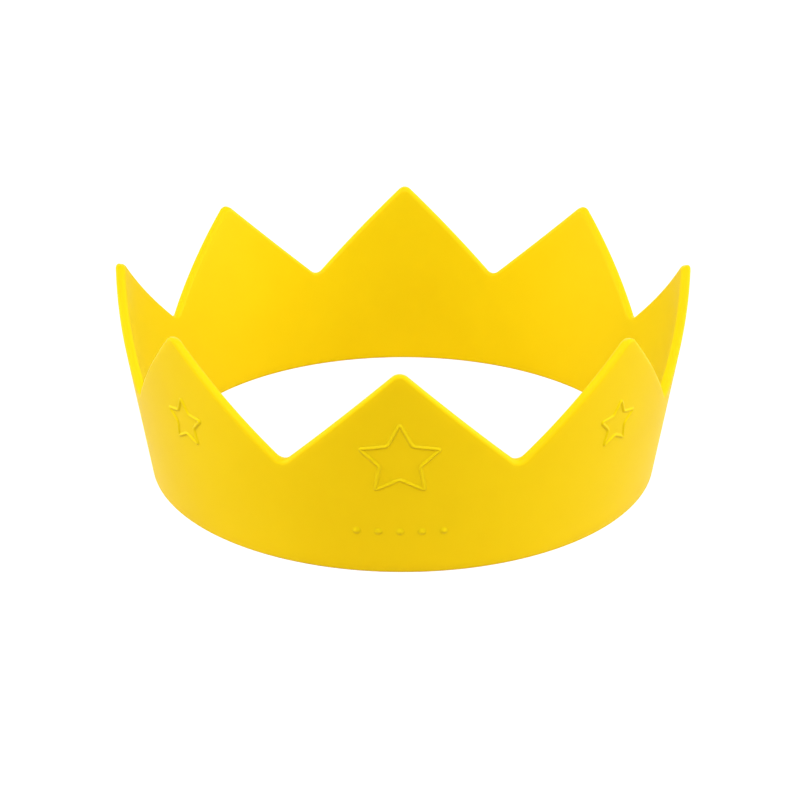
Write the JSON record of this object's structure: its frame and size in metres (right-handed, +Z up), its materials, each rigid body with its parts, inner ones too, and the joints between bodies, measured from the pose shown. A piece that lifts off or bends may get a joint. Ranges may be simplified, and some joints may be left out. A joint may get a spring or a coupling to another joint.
{
  "type": "party crown",
  "caption": "Soft moulded party crown: a flared round band that rises into rounded points, with raised star outlines, open through the middle for a head",
  "frame": {"origin": "middle of the ring's base, on the surface that it stands on", "axes": "+Z up along the ring's axis, -Y towards the front point, +X to the right seen from the front"},
  "size_m": [0.1786, 0.1786, 0.063],
  "materials": {
    "silicone": "soft matte moulded silicone"
  },
  "bodies": {
    "root": {"crown": "silicone"}
  },
  "joints": []
}
